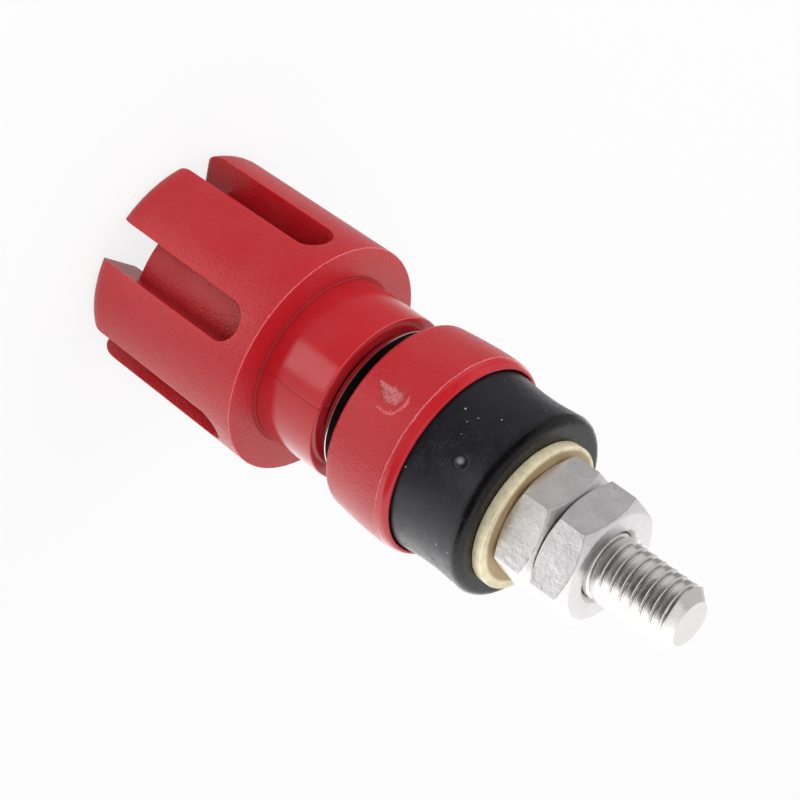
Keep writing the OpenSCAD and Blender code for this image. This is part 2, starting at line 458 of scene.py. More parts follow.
@cache
def flash_tree() -> Tree:
    """A ragged line of moulding flash around a piece, at a given radius and height."""
    tree, g, source, sink = new_group(
        "flash_line",
        {"Vector": None, "Radius": 7.0, "Height": 12.0, "Width": 0.05, "Waver": 0.08},
        ("Mask",),
    )
    here = g.group(around_tree(), Vector=source["Vector"])
    inward = g.minus(source["Radius"], here["Radius"])
    across = g.plus(g.minus(here["Height"], source["Height"]), inward)
    slow = g.noise(source["Vector"], 0.45, 1.0)
    quick = g.noise(source["Vector"], 2.6, 3.0, 0.7)
    sway = g.times(g.minus(quick, 0.5), source["Waver"])
    sway = g.times(sway, g.times(slow, 4.0))
    offset = g.math("ABSOLUTE", g.plus(across, sway))
    swell = g.plus(0.35, g.times(g.noise(source["Vector"], 4.5, 2.0), 1.3))
    breadth = g.times(source["Width"], swell)
    inside = g.minus(1.0, g.over(offset, breadth), clamp=True)
    near = g.math("LESS_THAN", inward, 0.6)
    g.wire(g.times(g.ramp(inside, 0.0, 0.6), near), sink["Mask"])
    return tree


@cache
def scar_tree() -> Tree:
    """A torn-off moulding gate: a rough smear with a tail, inside a broken ring."""
    tree, g, source, sink = new_group(
        "gate_scar", {"Vector": None, "Radius": 6.2, "Height": 20.9, "Angle": 0.0}, ("Smear", "Ring")
    )
    here = g.group(around_tree(), Vector=source["Vector"])
    turn = g.minus(here["Angle"], source["Angle"])
    a = g.times(turn, source["Radius"])
    b = g.minus(here["Height"], source["Height"])
    rag = g.minus(g.noise(source["Vector"], 3.4, 4.0, 0.7), 0.5)
    blobs = []
    for ca, cb, ra, rb in ((0.0, 0.0, 0.62, 0.72), (-0.2, -0.72, 0.24, 0.45), (-0.3, -1.1, 0.1, 0.3)):
        p = g.over(g.minus(a, ca), ra)
        q = g.over(g.minus(b, cb), rb)
        d = g.length(p, q)
        blobs.append(g.ramp(g.plus(g.minus(1.0, d), g.times(rag, 1.5)), 0.0, 0.35))
    smear = g.math("MAXIMUM", g.math("MAXIMUM", blobs[0], blobs[1]), blobs[2])
    away = g.length(a, b)
    ring_radius, ring_width = 0.98, 0.13
    off = g.math("ABSOLUTE", g.plus(g.minus(away, ring_radius), g.times(rag, 0.5)))
    line = g.minus(1.0, g.over(off, ring_width), clamp=True)
    part = g.ramp(g.plus(g.plus(a, b), g.times(rag, 1.2)), 0.2, 0.55)
    g.wire(smear, sink["Smear"])
    g.wire(g.times(line, part), sink["Ring"])
    return tree


@dataclass(frozen=True)
class Finish:
    """What every finish shares: a name and the start of its material."""

    name: str

    def begin(self) -> tuple[Material, Graph, Node, Socket]:
        """Starts a material.

        Returns:
            The material, its graph, its Principled node and the place on the piece in millimetres.
        """
        made = bpy.data.materials.new(self.name)
        made.use_nodes = True
        g = Graph(made.node_tree)
        shader = made.node_tree.nodes["Principled BSDF"]
        return made, g, shader, g.place_mm()

    def relief(self, g: Graph, shader: Node, *heights: tuple[object, float]) -> None:
        """Feeds the sum of some heights to the shader's normal.

        Args:
            g: the graph.
            shader: the Principled node.
            heights: pairs of a value and the millimetres that 1 stands for.
        """
        total: object = 0.0
        for value, depth in heights:
            total = g.plus(total, g.times(value, depth))
        node = g.add("ShaderNodeBump")
        node.inputs["Strength"].default_value = 1.0
        node.inputs["Distance"].default_value = MM
        g.wire(total, node.inputs["Height"])
        g.wire(node.outputs[0], shader.inputs["Normal"])

    def material(self) -> Material:
        """The finished material, made once."""
        found = bpy.data.materials.get(self.name)
        return found or self.build()

    def build(self) -> Material:
        """Builds the material; each finish has its own."""
        raise NotImplementedError


@dataclass(frozen=True)
class RedMoulding(Finish):
    """Dyed thermoplastic: satin with a fine grain, glossy past a given height, with flash and scars,
    painted highlights on its specks, flash, scar and neck end, and painted shade at the neck's foot.

    Attributes:
        glow: share of the light that goes into the plastic and comes out red, with its reach.
        gloss_from: height in mm past which the mould was polished.
        flash: radius, height, width and waver of the flash line, in mm.
        seam: angle in degrees of a parting line on the polished part, or None.
        seam_width: its half width in mm.
        scar: radius, height in mm and angle in degrees of the gate scar, or None.
        end_line: radius and height in mm of a pale line painted along an edge as its highlight, or None.
        root: radius and height in mm of the inner corner at the foot of the neck, made rougher and
            darkened with painted shade.
    """

    colour: tuple[float, float, float] = (0.470, 0.0118, 0.0185)
    pale: tuple[float, float, float] = (0.80, 0.20, 0.23)
    specular: float = 0.44
    glow: float = 0.3
    glow_reach: tuple[float, float, float] = (1.0, 0.15, 0.12)
    glow_scale: float = 0.0011
    satin: float = 0.33
    gloss: float = 0.15
    gloss_from: float = 12.36
    grain_size: float = 0.12
    grain_depth: float = 0.06
    flash: tuple[float, float, float, float] = (7.25, 12.35, 0.07, 0.08)
    seam: float | None = None
    seam_width: float = 0.16
    scar: tuple[float, float, float] | None = None
    end_line: tuple[float, float] | None = None
    root: tuple[float, float] = (5.33, 12.40)

    def build(self) -> Material:
        """Builds the plastic."""
        made, g, shader, place = self.begin()
        here = g.group(around_tree(), Vector=place)
        grain = g.group(grain_tree(), Vector=place, Size=self.grain_size, Patch=2.4)
        specks = g.group(specks_tree(), Vector=place, Spacing=1.3, Size=0.06, Share=0.22)
        radius, height, width, waver = self.flash
        line = g.group(flash_tree(), Vector=place, Radius=radius, Height=height,
                       Width=width, Waver=waver)
        polished = g.ramp(here["Height"], self.gloss_from - 0.04, self.gloss_from + 0.04)
        satin = g.minus(1.0, polished)
        patch = g.times(grain["Patches"], 0.03)
        tone = g.blend(patch, (*self.colour, 1), (*self.pale, 1))
        # painted highlight: pale specks stand in for glints, over small raised bumps
        tone = g.tint(tone, specks["Mask"], 0.6, self.pale)
        # moulding flash ridge, painted pale along it as its highlight
        tone = g.tint(tone, line["Mask"], 0.7, self.pale)
        if self.end_line is not None:
            edge_radius, edge_height = self.end_line
            # painted highlight: a pale line along the neck's end edge
            edge_highlight = g.group(flash_tree(), Vector=place, Radius=edge_radius, Height=edge_height,
                             Width=0.045, Waver=0.01)
            tone = g.tint(tone, edge_highlight["Mask"], 0.45, self.pale)
        patchy = g.plus(0.55, g.times(g.noise(place, 0.35, 1.0), 0.9))
        coarse = g.times(g.plus(0.03, g.times(satin, 0.97)), patchy)
        reliefs: list[tuple[object, float]] = [
            (g.times(grain["Height"], coarse), self.grain_depth),
            (specks["Height"], 0.012),
            (line["Mask"], 0.03),
            (g.noise(place, 0.5, 1.0), 0.03),
        ]
        if self.seam is not None:
            turn = g.math("ABSOLUTE", g.minus(here["Angle"], math.radians(self.seam)))
            groove = g.minus(1.0, g.over(g.times(turn, here["Radius"]), self.seam_width), clamp=True)
            groove = g.times(g.ramp(groove, 0.0, 0.9), polished)
            tone = g.blend(g.times(groove, 0.35), tone, (self.colour[0] * 0.6, 0.004, 0.007, 1))
            reliefs.append((groove, -0.02))
        if self.scar is not None:
            scar = g.group(scar_tree(), Vector=place, Radius=self.scar[0], Height=self.scar[1],
                           Angle=math.radians(self.scar[2]))
            crumbs = g.noise(place, 7.0, 4.0, 0.75)
            torn = g.times(scar["Smear"], g.ramp(crumbs, 0.25, 0.7))
            # the torn gate's own paler plastic, with painted highlights on its crumbs and its broken
            # ring
            tone = g.tint(tone, torn, 0.9, (0.80, 0.30, 0.31))
            tone = g.blend(g.times(scar["Ring"], g.ramp(crumbs, 0.3, 0.6)), tone, (*self.pale, 1))
            reliefs += [(g.times(scar["Smear"], crumbs), 0.16), (scar["Ring"], 0.04)]
        # painted shade: the inner corner at the foot of the neck is darkened, and made rougher
        root = g.minus(here["Radius"], self.root[0])
        rise = g.minus(here["Height"], self.root[1])
        away = g.length(root, rise)
        corner = g.minus(1.0, g.ramp(away, 0.08, 0.2))
        tone = g.blend(g.times(corner, 0.45), tone, (self.colour[0] * 0.55, 0.003, 0.005, 1))
        g.wire(tone, shader.inputs["Base Color"])
        shader.inputs["Specular IOR Level"].default_value = self.specular
        shader.inputs["Subsurface Weight"].default_value = self.glow
        shader.inputs["Subsurface Radius"].default_value = self.glow_reach
        shader.inputs["Subsurface Scale"].default_value = self.glow_scale
        rough = g.plus(self.gloss, g.times(satin, self.satin - self.gloss))
        rough = g.plus(rough, g.times(corner, 0.4))
        rough = g.plus(rough, g.times(grain["Patches"], 0.05))
        g.wire(rough, shader.inputs["Roughness"])
        self.relief(g, shader, *reliefs)
        return made


@dataclass(frozen=True)
class BlackMoulding(Finish):
    """Black moulding with dust, faint scuffs and one small blister, with a painted highlight on the
    blister and painted shade on the end bead.

    Attributes:
        blister: radius, height in mm and angle in degrees of the blister's middle.
        bead_from: height in mm where the bead at the end starts, darkened there with painted shade.
    """

    colour: tuple[float, float, float] = (0.0075, 0.0070, 0.0115)
    bead_from: float = 27.7
    blister: tuple[float, float, float] = (5.6, 26.3, 1.0)

    def build(self) -> Material:
        """Builds the black plastic."""
        made, g, shader, place = self.begin()
        here = g.group(around_tree(), Vector=place)
        grain = g.group(grain_tree(), Vector=place, Size=0.17, Patch=2.6)
        dust = g.group(specks_tree(), Vector=place, Spacing=0.62, Size=0.075, Share=0.3)
        scuff = g.group(mottle_tree(), Vector=place, Size=0.9)
        haze = g.times(scuff["Blotches"], scuff["Fine"])
        tone = g.blend(g.times(haze, 0.5), (*self.colour, 1), (0.024, 0.023, 0.034, 1))
        tone = g.tint(tone, dust["Mask"], 0.8, (0.42, 0.42, 0.46))
        # painted shade: the end bead is darkened, and made glossier
        end = g.ramp(here["Height"], self.bead_from, self.bead_from + 0.35)
        tone = g.tint(tone, end, 0.85, (0.001, 0.001, 0.001))
        turn = g.minus(here["Angle"], math.radians(self.blister[2]))
        a = g.over(g.times(turn, self.blister[0]), 0.36)
        b = g.over(g.minus(here["Height"], self.blister[1]), 0.40)
        away = g.length(a, b)
        dome = g.minus(1.0, away, clamp=True)
        # painted highlight on the blister's dome
        shine = g.ramp(g.plus(dome, g.times(g.plus(a, b), -0.3)), 0.25, 0.9)
        shine = g.times(shine, g.ramp(dome, 0.02, 0.3))
        tone = g.tint(tone, shine, 0.6, (0.30, 0.30, 0.33))
        g.wire(tone, shader.inputs["Base Color"])
        shader.inputs["Specular IOR Level"].default_value = 0.33
        rough = g.plus(0.34, g.times(haze, 0.16))
        g.wire(g.minus(rough, g.times(end, 0.08)), shader.inputs["Roughness"])
        moat = g.minus(1.0, g.times(g.math("ABSOLUTE", g.minus(away, 1.1)), 3.5), clamp=True)
        self.relief(g, shader, (grain["Height"], 0.008), (dust["Height"], 0.02),
                    (g.math("SQRT", g.ramp(dome, 0.0, 1.0)), 0.09), (moat, -0.015),
                    (haze, 0.006), (g.noise(place, 0.6, 1.0), 0.04))
        return made


@dataclass(frozen=True)
class Nickel(Finish):
    """Bright nickel over turned brass, darkened with painted shade and made rougher between two heights.

    Attributes:
        shaded_stretch: lowest and highest height in mm of the stretch darkened with painted shade, or
            None.
    """

    colour: tuple[float, float, float] = (0.83, 0.81, 0.79)
    roughness: float = 0.12
    marks: float = 0.0008
    wear: float = 0.0012
    shaded_stretch: tuple[float, float] | None = None

    def build(self) -> Material:
        """Builds the plated metal."""
        made, g, shader, place = self.begin()
        shader.inputs["Metallic"].default_value = 1.0
        turning = g.group(turning_tree(), Vector=place, Pitch=0.07)
        blotch = g.group(mottle_tree(), Vector=place, Size=1.3)
        nicks = g.group(specks_tree(), Vector=place, Spacing=0.7, Size=0.07, Share=0.3)
        tone = g.blend(g.times(blotch["Fine"], 0.22), (*self.colour, 1), (0.68, 0.65, 0.62, 1))
        tone = g.tint(tone, nicks["Mask"], 0.35, (0.4, 0.38, 0.36))
        rough = g.plus(self.roughness, g.times(blotch["Blotches"], 0.08))
        if self.shaded_stretch is not None:
            here = g.group(around_tree(), Vector=place)
            low, high = self.shaded_stretch
            # painted shade in the gap between the knob and the collar: darker and rougher between the
            # two heights
            shaded_gap = g.times(g.ramp(here["Height"], low - 0.008, low + 0.008),
                          g.minus(1.0, g.ramp(here["Height"], high - 0.02, high + 0.02)))
            tone = g.tint(tone, shaded_gap, 0.93, (0.09, 0.07, 0.06))
            rough = g.plus(rough, g.times(shaded_gap, 0.3))
        g.wire(tone, shader.inputs["Base Color"])
        g.wire(rough, shader.inputs["Roughness"])
        self.relief(g, shader, (turning["Height"], self.marks), (blotch["Fine"], self.wear),
                    (nicks["Height"], -0.01), (blotch["Blotches"], self.wear * 4))
        return made


@dataclass(frozen=True)
class PlainBrass(Finish):
    """Unplated brass, blotched and pitted, darkened next to the nut with tarnish and painted contact
    shadow.

    Attributes:
        face: height in mm of the pressed face.
        tarnish_and_shade_radius: radius in mm within which it is darkened with tarnish and painted
            contact shadow.
    """

    face: float = 29.1
    tarnish_and_shade_radius: float = 4.05

    def build(self) -> Material:
        """Builds the brass."""
        made, g, shader, place = self.begin()
        shader.inputs["Metallic"].default_value = 0.35
        here = g.group(around_tree(), Vector=place)
        blotch = g.group(mottle_tree(), Vector=place, Size=0.8)
        pits = g.group(specks_tree(), Vector=place, Spacing=0.3, Size=0.07, Share=0.6)
        tone = g.blend(blotch["Blotches"], (0.97, 0.87, 0.60, 1), (0.80, 0.70, 0.47, 1))
        tone = g.tint(tone, blotch["Fine"], 0.3, (0.80, 0.75, 0.6))
        tone = g.tint(tone, pits["Mask"], 0.4, (0.35, 0.29, 0.18))
        # tarnish and painted contact shadow on the face next to the nut
        dark = g.times(g.ramp(here["Height"], self.face, self.face + 0.1),
                      g.minus(1.0, g.ramp(here["Radius"], self.tarnish_and_shade_radius, self.tarnish_and_shade_radius + 0.22)))
        tone = g.tint(tone, dark, 0.75, (0.34, 0.20, 0.07))
        g.wire(tone, shader.inputs["Base Color"])
        g.wire(g.plus(0.42, g.times(blotch["Fine"], 0.15)), shader.inputs["Roughness"])
        self.relief(g, shader, (blotch["Fine"], 0.012), (pits["Height"], -0.02),
                    (g.noise(place, 9.0, 3.0), 0.008))
        return made


@dataclass(frozen=True)
class SpringSteel(Finish):
    """Dark spring steel of the retaining ring."""

    def build(self) -> Material:
        """Builds the steel."""
        made, g, shader, place = self.begin()
        shader.inputs["Metallic"].default_value = 1.0
        blotch = g.group(mottle_tree(), Vector=place, Size=0.6)
        tone = g.blend(blotch["Blotches"], (0.42, 0.41, 0.40, 1), (0.30, 0.29, 0.28, 1))
        g.wire(tone, shader.inputs["Base Color"])
        g.wire(g.plus(0.28, g.times(blotch["Fine"], 0.14)), shader.inputs["Roughness"])
        self.relief(g, shader, (blotch["Fine"], 0.002))
        return made


KNOB_RED = RedMoulding("knob_red", seam=26.0, end_line=(5.25, 16.76))
COLLAR_RED = RedMoulding(
    "collar_red", gloss_from=22.86, flash=(6.25, 22.83, 0.065, 0.12), scar=(6.2, 20.9, -6.0)
)
BLACK = BlackMoulding("dusty_black")
POST_NICKEL = Nickel("post_plating", roughness=0.19, shaded_stretch=(15.5, 18.39))
RING_NICKEL = Nickel("ring_plating", shaded_stretch=(17.495, 18.0))
BUSH_NICKEL = Nickel("bush_plating", roughness=0.2)
NUT_NICKEL = Nickel("nut_plating", colour=(0.90, 0.885, 0.89), roughness=0.42, marks=0.001, wear=0.004)
BRASS = PlainBrass("plain_brass")
STEEL = SpringSteel("spring_steel")


# ---------------------------------------------------------------- the pieces


@dataclass
class Knob:
    """Red screw knob: a castellated head, a smooth neck, and the moulding flash at the shoulder."""

    end_radius: float = 7.05
    end_round: float = 1.3
    mouth_radius: float = 3.65
    mouth_depth: float = 7.0
    neck_radius: float = 5.28
    shoulder: float = 12.35
    fillet: float = 0.12
    slots: int = 6
    slot_width: float = 2.55
    slot_stop: float = 1.3
    slot_turn: float = -79.1
    core_radius: float = 5.2
    core_inset: float = 2.15
    slot_foot: float = 3.2
    slot_reach: float = 6.0
    corner_round: float = 0.42
    bush_radius: float = 4.2

    def blank(self) -> Piece:
        """The knob as it would be without its slots."""
        _, high = box_mm("knob")
        shoulder_radius, top = high.x, high.z
        edge = 0.1
        lead, tip, bush_lead = 0.12, 0.05, 0.06
        outline = [(self.mouth_radius, lead), (self.mouth_radius + lead, 0.0)]
        outline += arc((self.end_radius - self.end_round, self.end_round), self.end_round, -90, 0, 12)
        rise = [i / 6 for i in range(1, 6)]
        outline += [
            (self.end_radius + (shoulder_radius - self.end_radius) * k,
             self.end_round + (self.shoulder - self.end_round) * k)
            for k in rise
        ]
        outline += arc((shoulder_radius - tip, self.shoulder - tip), tip, 0, 90, 3)
        inset = self.fillet
        outline += arc((self.neck_radius + inset, self.shoulder + inset), inset, 270, 180, 6)
        outline += arc((self.neck_radius - edge, top - edge), edge, 0, 90, 3)
        outline += [(self.bush_radius + bush_lead, top), (self.bush_radius, top - bush_lead)]
        outline += [(self.bush_radius, self.mouth_depth), (self.mouth_radius, self.mouth_depth)]
        return lathe("knob_head", outline, steps=240)

    def slot_outline(self, top: float) -> list[Point]:
        """Section of a slot up to its round top, flared where the rib corners are rounded."""
        half, flare = self.slot_width / 2, self.corner_round
        left = [(-half - flare, -1.0)] + arc((-half - flare, flare), flare, -90, 0, 6)
        crown = arc((0, top - half), half, 180, 0, 20)
        return left + crown[1:-1] + [(-y, z) for y, z in reversed(left)]

    def slotted(self) -> Piece:
        """Cuts the slots into the blank."""
        head = self.blank()
        section = self.slot_outline(self.shoulder - self.slot_stop)
        tool = prism("slot", section, self.slot_foot, self.slot_reach)
        cut(tool, rod("core", self.core_radius, self.core_inset, self.shoulder + 1, 180), Cut.TAKE)
        copies = [turned_copy(tool, self.slot_turn + i * 360 / self.slots) for i in range(self.slots)]
        bpy.data.objects.remove(tool, do_unlink=True)
        activate(copies[0])
        for copy in copies:
            copy.select_set(True)
        bpy.ops.object.join()
        cut(head, copies[0], Cut.TAKE)
        heal(head)
        return head

    def build(self) -> None:
        """Makes and dresses the knob."""
        head = self.slotted()
        soften(head, 0.07, 2, 40)
        complete(head, Body.KNOB, KNOB_RED, ("knob",))


@dataclass
class PressureRing:
    """The loose clamping ring in the end of the neck."""

    bore: float = 3.25
    skirt: float = 4.1
    radius: float = 4.8
    thickness: float = 0.4
    taper: float = 0.13

    def build(self) -> None:
        """Makes and dresses the ring."""
        low, high = box_mm("pressure_ring")
        back, front, edge = high.z - self.thickness, high.z, 0.05
        side = self.radius - self.taper
        outline = [(self.bore, low.z), (self.skirt, low.z), (self.skirt, back), (side - edge, back),
                   (side, back + edge)]
        outline += arc((self.radius - edge, front - edge), edge, 0, 90, 3)
        outline += [(self.bore + 0.08, front), (self.bore, front - 0.08)]
        ring = lathe("pressure_ring_turned", outline)
        complete(ring, Body.CLAMP, RING_NICKEL, ("pressure_ring",))


@dataclass
class Post:
    """The turned post: socket, knob thread, contact flange and threaded stud.

    Attributes:
        groove: radius, lowest and highest height in mm of the retaining ring's groove.
        overlap: how far shank and stud thread reach into each other, in mm.
        knob_thread: run-in past the groove, run-out before the flange, pitch and depth, in mm.
    """

    radius: float = 3.1
    socket_radius: float = 2.0
    socket_end: float = 14.6
    flange_radius: float = 5.4
    flange_proud: float = 0.1
    flange_thickness: float = 1.0
    wire_radius: float = 1.1
    wire_height: float = 17.15
    groove: tuple[float, float, float] = (2.75, 3.05, 3.75)
    crest: float = 1.98
    root: float = 1.77
    pitch: float = 0.7
    thread_start: float = 27.6
    end_chamfer: float = 0.62
    drill_point: float = 1.2
    mouth_chamfer: float = 0.35
    end_round: float = 0.4
    core_radius: float = 1.8
    overlap: float = 0.4
    knob_thread: tuple[float, float, float, float] = (0.6, 2.6, 0.75, 0.18)

    def shank(self) -> Piece:
        """Everything but the stud's thread."""
        low, _ = box_mm("post")
        z0, edge = low.z, 0.06
        groove_r, groove_low, groove_high = self.groove
        flange = box_mm("collar")[0].z - self.flange_proud
        flange_end = flange + self.flange_thickness
        outline = [
            (0.0, self.socket_end + self.drill_point), (self.socket_radius, self.socket_end),
            (self.socket_radius, z0 + self.mouth_chamfer), (self.socket_radius + self.mouth_chamfer, z0),
            (self.radius - self.end_round, z0),
            (self.radius, z0 + self.end_round), (self.radius, groove_low), (groove_r, groove_low),
            (groove_r, groove_high), (self.radius, groove_high),
        ]
        outline += self.knob_thread_turns(groove_high, flange)
        outline += [(self.radius, flange)]
        outline += arc((self.flange_radius - edge, flange + edge), edge, -90, 0, 3)
        outline += [(self.flange_radius, flange_end - edge), (self.flange_radius - edge, flange_end),
                    (self.core_radius, flange_end), (self.core_radius, self.thread_start + self.overlap),
                    (0.0, self.thread_start + self.overlap)]
        body = lathe("post_turned", outline, steps=128, closed=False)
        reach = self.flange_radius + 0.6
        hole = rod("wire_hole", self.wire_radius, -reach, reach, 48)
        hole.rotation_euler = (0, math.radians(90), 0)
        hole.location = (0, 0, self.wire_height)
        activate(hole)
        bpy.ops.object.transform_apply(location=True, rotation=True, scale=True)
        cut(body, hole, Cut.TAKE)
        return body

    def knob_thread_turns(self, groove_high: float, flange: float) -> list[Point]:
        """Section of the knob thread along the post, as grooves."""
        run_in, run_out, pitch, depth = self.knob_thread
        points: list[Point] = []
        z = groove_high + run_in
        while z + pitch < flange - run_out:
            for share, inward in ((0.0, 0.0), (0.38, depth), (0.5, depth), (0.88, 0.0)):
                points.append((self.radius - inward, z + pitch * share))
            z += pitch
        return points

    def thread(self) -> Piece:
        """The right-hand thread of the stud, cut to length and chamfered at its end."""
        _, high = box_mm("post")
        low, top, p = self.thread_start, high.z, self.pitch
        crest, root = self.crest, self.root
        # radius and share of the pitch, from root to root
        turn = ((root, 0.0), (root, 0.05), (crest - 0.05, 0.17), (crest - 0.01, 0.24), (crest, 0.5),
                (crest - 0.01, 0.76), (crest - 0.05, 0.83), (root, 0.95), (root, 1.0))
        piece = draw_chain("stud_thread", [Vector((r, 0, share * p + low - 2 * p)) for r, share in turn])
        turns = int((top - low) / p) + 5
        step = piece.modifiers.new("helix", "SCREW")
        step.axis, step.angle, step.screw_offset = "Z", 2 * math.pi, p
        step.iterations, step.steps, step.render_steps = turns, 72, 72
        step.use_merge_vertices, step.merge_threshold = True, 1e-4
        activate(piece)
        bpy.ops.object.modifier_apply(modifier=step.name)
        heal(piece)
        for height, inner, outer in ((low, True, False), (top, False, True)):
            with editing(piece):
                bpy.ops.mesh.bisect(plane_co=(0, 0, height), plane_no=(0, 0, 1), use_fill=True,
                                    clear_inner=inner, clear_outer=outer, threshold=1e-5)
        heal(piece)
        c, wide, spare = self.end_chamfer, crest + 1, 0.02
        section = [(0, low - 1), (wide, low - 1), (wide, top - c - 1 + spare), (crest - c + spare, top),
                   (0, top)]
        envelope = lathe("envelope", section, steps=96, closed=False)
        cut(piece, envelope, Cut.KEEP)
        return piece

    def build(self) -> None:
        """Makes and dresses the post."""
        body, stud = self.shank(), self.thread()
        activate(body)
        stud.select_set(True)
        bpy.ops.object.join()
        soften(body, 0.03, 1, 40)
        complete(body, Body.POST, POST_NICKEL, ("post",))


@dataclass
class Collar:
    """Red front insulator, barrel-shaped, open toward the rear insulator."""

    top_radius: float = 5.65
    top_round: float = 0.35
    rim_radius: float = 6.25
    rim_wall: float = 0.4
    rim_depth: float = 1.75
    lip: float = 0.72
    set_back: float = 0.1
    seat_radius: float = 5.45
    seat_depth: float = 0.9
    top_stretch: float = 1.7
    spigot_radius: float = 4.15
    spigot_depth: float = 1.3
    bore: float = 2.15

    def outline(self) -> list[Point]:
        """Section of the collar."""
        low, high = box_mm("collar")
        z0, z1 = low.z + self.set_back, high.z
        side_z, side_r = z0 + self.top_round * self.top_stretch, self.top_radius + self.top_round
        inner, pit = self.rim_radius - self.rim_wall, z1 - self.rim_depth
        points = [
            (self.top_radius + self.top_round * math.sin(math.radians(a)),
             side_z - self.top_round * self.top_stretch * math.cos(math.radians(a)))
            for a in range(0, 90, 9)
        ]
        line = z1 - self.lip
        points += [
            (side_r + (self.rim_radius - side_r) * math.sin(math.radians(a)),
             side_z + (line - side_z) * a / 90)
            for a in range(0, 91, 6)
        ]
        round_in = self.rim_wall - 0.06
        points += [
            (self.rim_radius - round_in * (1 - math.cos(math.radians(a))),
             line + self.lip * math.sin(math.radians(a)))
            for a in range(9, 91, 9)
        ]
        foot = pit - self.spigot_depth
        seat, lead = z0 + self.seat_depth, 0.04
        points += [(inner, z1 - 0.03), (inner, pit), (self.spigot_radius, pit),
                   (self.spigot_radius, foot), (self.bore, foot), (self.bore, seat),
                   (self.seat_radius, seat), (self.seat_radius, z0 + lead),
                   (self.seat_radius + lead, z0)]
        return points

    def build(self) -> None:
        """Makes and dresses the collar."""
        shell = lathe("collar_shell", self.outline(), steps=240)
        complete(shell, Body.POST, COLLAR_RED, ("collar",))


@dataclass
class RearInsulator:
    """Black waisted insulator with a bead at its end and a spigot inside the collar."""

    end_radius: float = 5.75
    waist: float = 5.6
    bead: float = 0.55
    spigot_radius: float = 4.0
    spigot_length: float = 1.2
    bore: float = 2.15

    def outline(self) -> list[Point]:
        """Section of the insulator."""
        low, high = box_mm("rear_insulator")
        _, rim = box_mm("collar")
        step_z, top = low.z + self.spigot_length, high.z
        side_low, side_high = rim.z, top - self.bead
        lead, edge = 0.2, 0.08
        points = [(self.bore, low.z), (self.spigot_radius - lead, low.z),
                  (self.spigot_radius, low.z + lead), (self.spigot_radius, step_z),
                  (self.end_radius - edge, step_z), (self.end_radius, step_z + edge)]
        for index in range(25):
            k = index / 24
            dip = (self.end_radius - self.waist) * math.sin(math.pi * k)
            points.append((self.end_radius - dip, side_low + (side_high - side_low) * k))
        points += arc((self.end_radius - self.bead, side_high), self.bead, 0, 90, 10)[1:]
        points += [(self.bore + 0.1, top), (self.bore, top - 0.1)]
        return points

    def build(self) -> None:
        """Makes and dresses the insulator."""
        shell = lathe("rear_shell", self.outline(), steps=240)
        complete(shell, Body.REAR, BLACK, ("rear_insulator",))


@dataclass
class Washer:
    """Plain brass washer that lies off the axis in its clearance."""

    radius: float = 4.525
    bore: float = 2.2
    shift: float = 0.16

    def build(self) -> None:
        """Makes and dresses the washer."""
        low, high = box_mm("washer")
        z0, z1, edge = low.z, high.z, 0.07
        outline = [(self.bore, z0), (self.radius - edge, z0)]
        outline += arc((self.radius - edge, z0 + edge), edge, -90, 0, 3)
        outline += arc((self.radius - edge, z1 - edge), edge, 0, 90, 3)
        outline += [(self.bore + 0.05, z1), (self.bore, z1 - 0.05)]
        piece = lathe("washer_stamped", outline)
        with editing(piece):
            bpy.ops.transform.translate(value=(self.shift, 0, 0))
        complete(piece, Body.REAR, BRASS, ("washer",))


@dataclass
class HexNut:
    """A chamfered hex nut with a countersunk thread."""

    name: str
    node: str
    body: Body
    slot: str
    flats: float = 7.05
    bore: float = 2.03
    countersink: float = 0.28
    turn: float = -98.0
    slope: float = 30.0
    face_share: float = 0.95
    margin: float = 0.5

    def build(self) -> None:
        """Makes and dresses the nut."""
        low, high = box_mm(self.node)
        z0, z1 = low.z, high.z
        corner, face = self.flats / 2 / math.cos(math.radians(30)), self.flats / 2 * self.face_share
        deselect()
        bpy.ops.mesh.primitive_cylinder_add(vertices=6, radius=corner, depth=z1 - z0,
                                            location=(0, 0, (z0 + z1) / 2))
        nut = bpy.context.object
        nut.name = self.name
        # a primitive's first corner lies on +Y
        nut.rotation_euler = (0, 0, math.radians(self.turn - 90))
        bpy.ops.object.transform_apply(location=True, rotation=True, scale=True)
        outer = corner + self.margin
        drop = (outer - face) * math.tan(math.radians(self.slope))
        cones = lathe("cones", [(0, z0), (face, z0), (outer, z0 + drop), (outer, z1 - drop),
                                (face, z1), (0, z1)], steps=144, closed=False)
        cut(nut, cones, Cut.KEEP)
        sink, over = self.countersink, 0.2
        wide = self.bore + sink + over
        core = lathe("core", [(0, z0 - over), (wide, z0 - over), (self.bore, z0 + sink),
                              (self.bore, z1 - sink), (wide, z1 + over), (0, z1 + over)],
                     steps=96, closed=False)
        cut(nut, core, Cut.TAKE)
        heal(nut)
        soften(nut, 0.05, 2, 20)
        complete(nut, self.body, NUT_NICKEL, (self.node,), 20)


def dress_hidden() -> None:
    """Gives the CAD nodes that stay their finishes."""
    for node, finish in (("thread_bush", BUSH_NICKEL), ("retaining_ring", STEEL)):
        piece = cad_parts[node]
        for slot in piece.material_slots:
            slot.material = finish.material()
        LOG.info("%s: keeps its own mesh", node)


# ---------------------------------------------------------------- stage, light, camera


@dataclass(frozen=True)
class Patch:
    """A lighter or darker glowing patch of the floor, seen only in reflections: a painted reflection on
    the shiny pieces.

    Attributes:
        azimuth: degrees from the front toward +X.
        distance: mm from the axis.
        size: radius in mm.
        gain: what it adds to the mirrored level.
        soft: share of the radius over which it fades.
    """

    azimuth: float
    distance: float
    size: float
    gain: float
    soft: float = 0.5

    @property
    def centre(self) -> tuple[float, float, float]:
        """Its middle on the floor, in mm."""
        a = math.radians(self.azimuth)
        return (self.distance * math.sin(a), -self.distance * math.cos(a), 0.0)


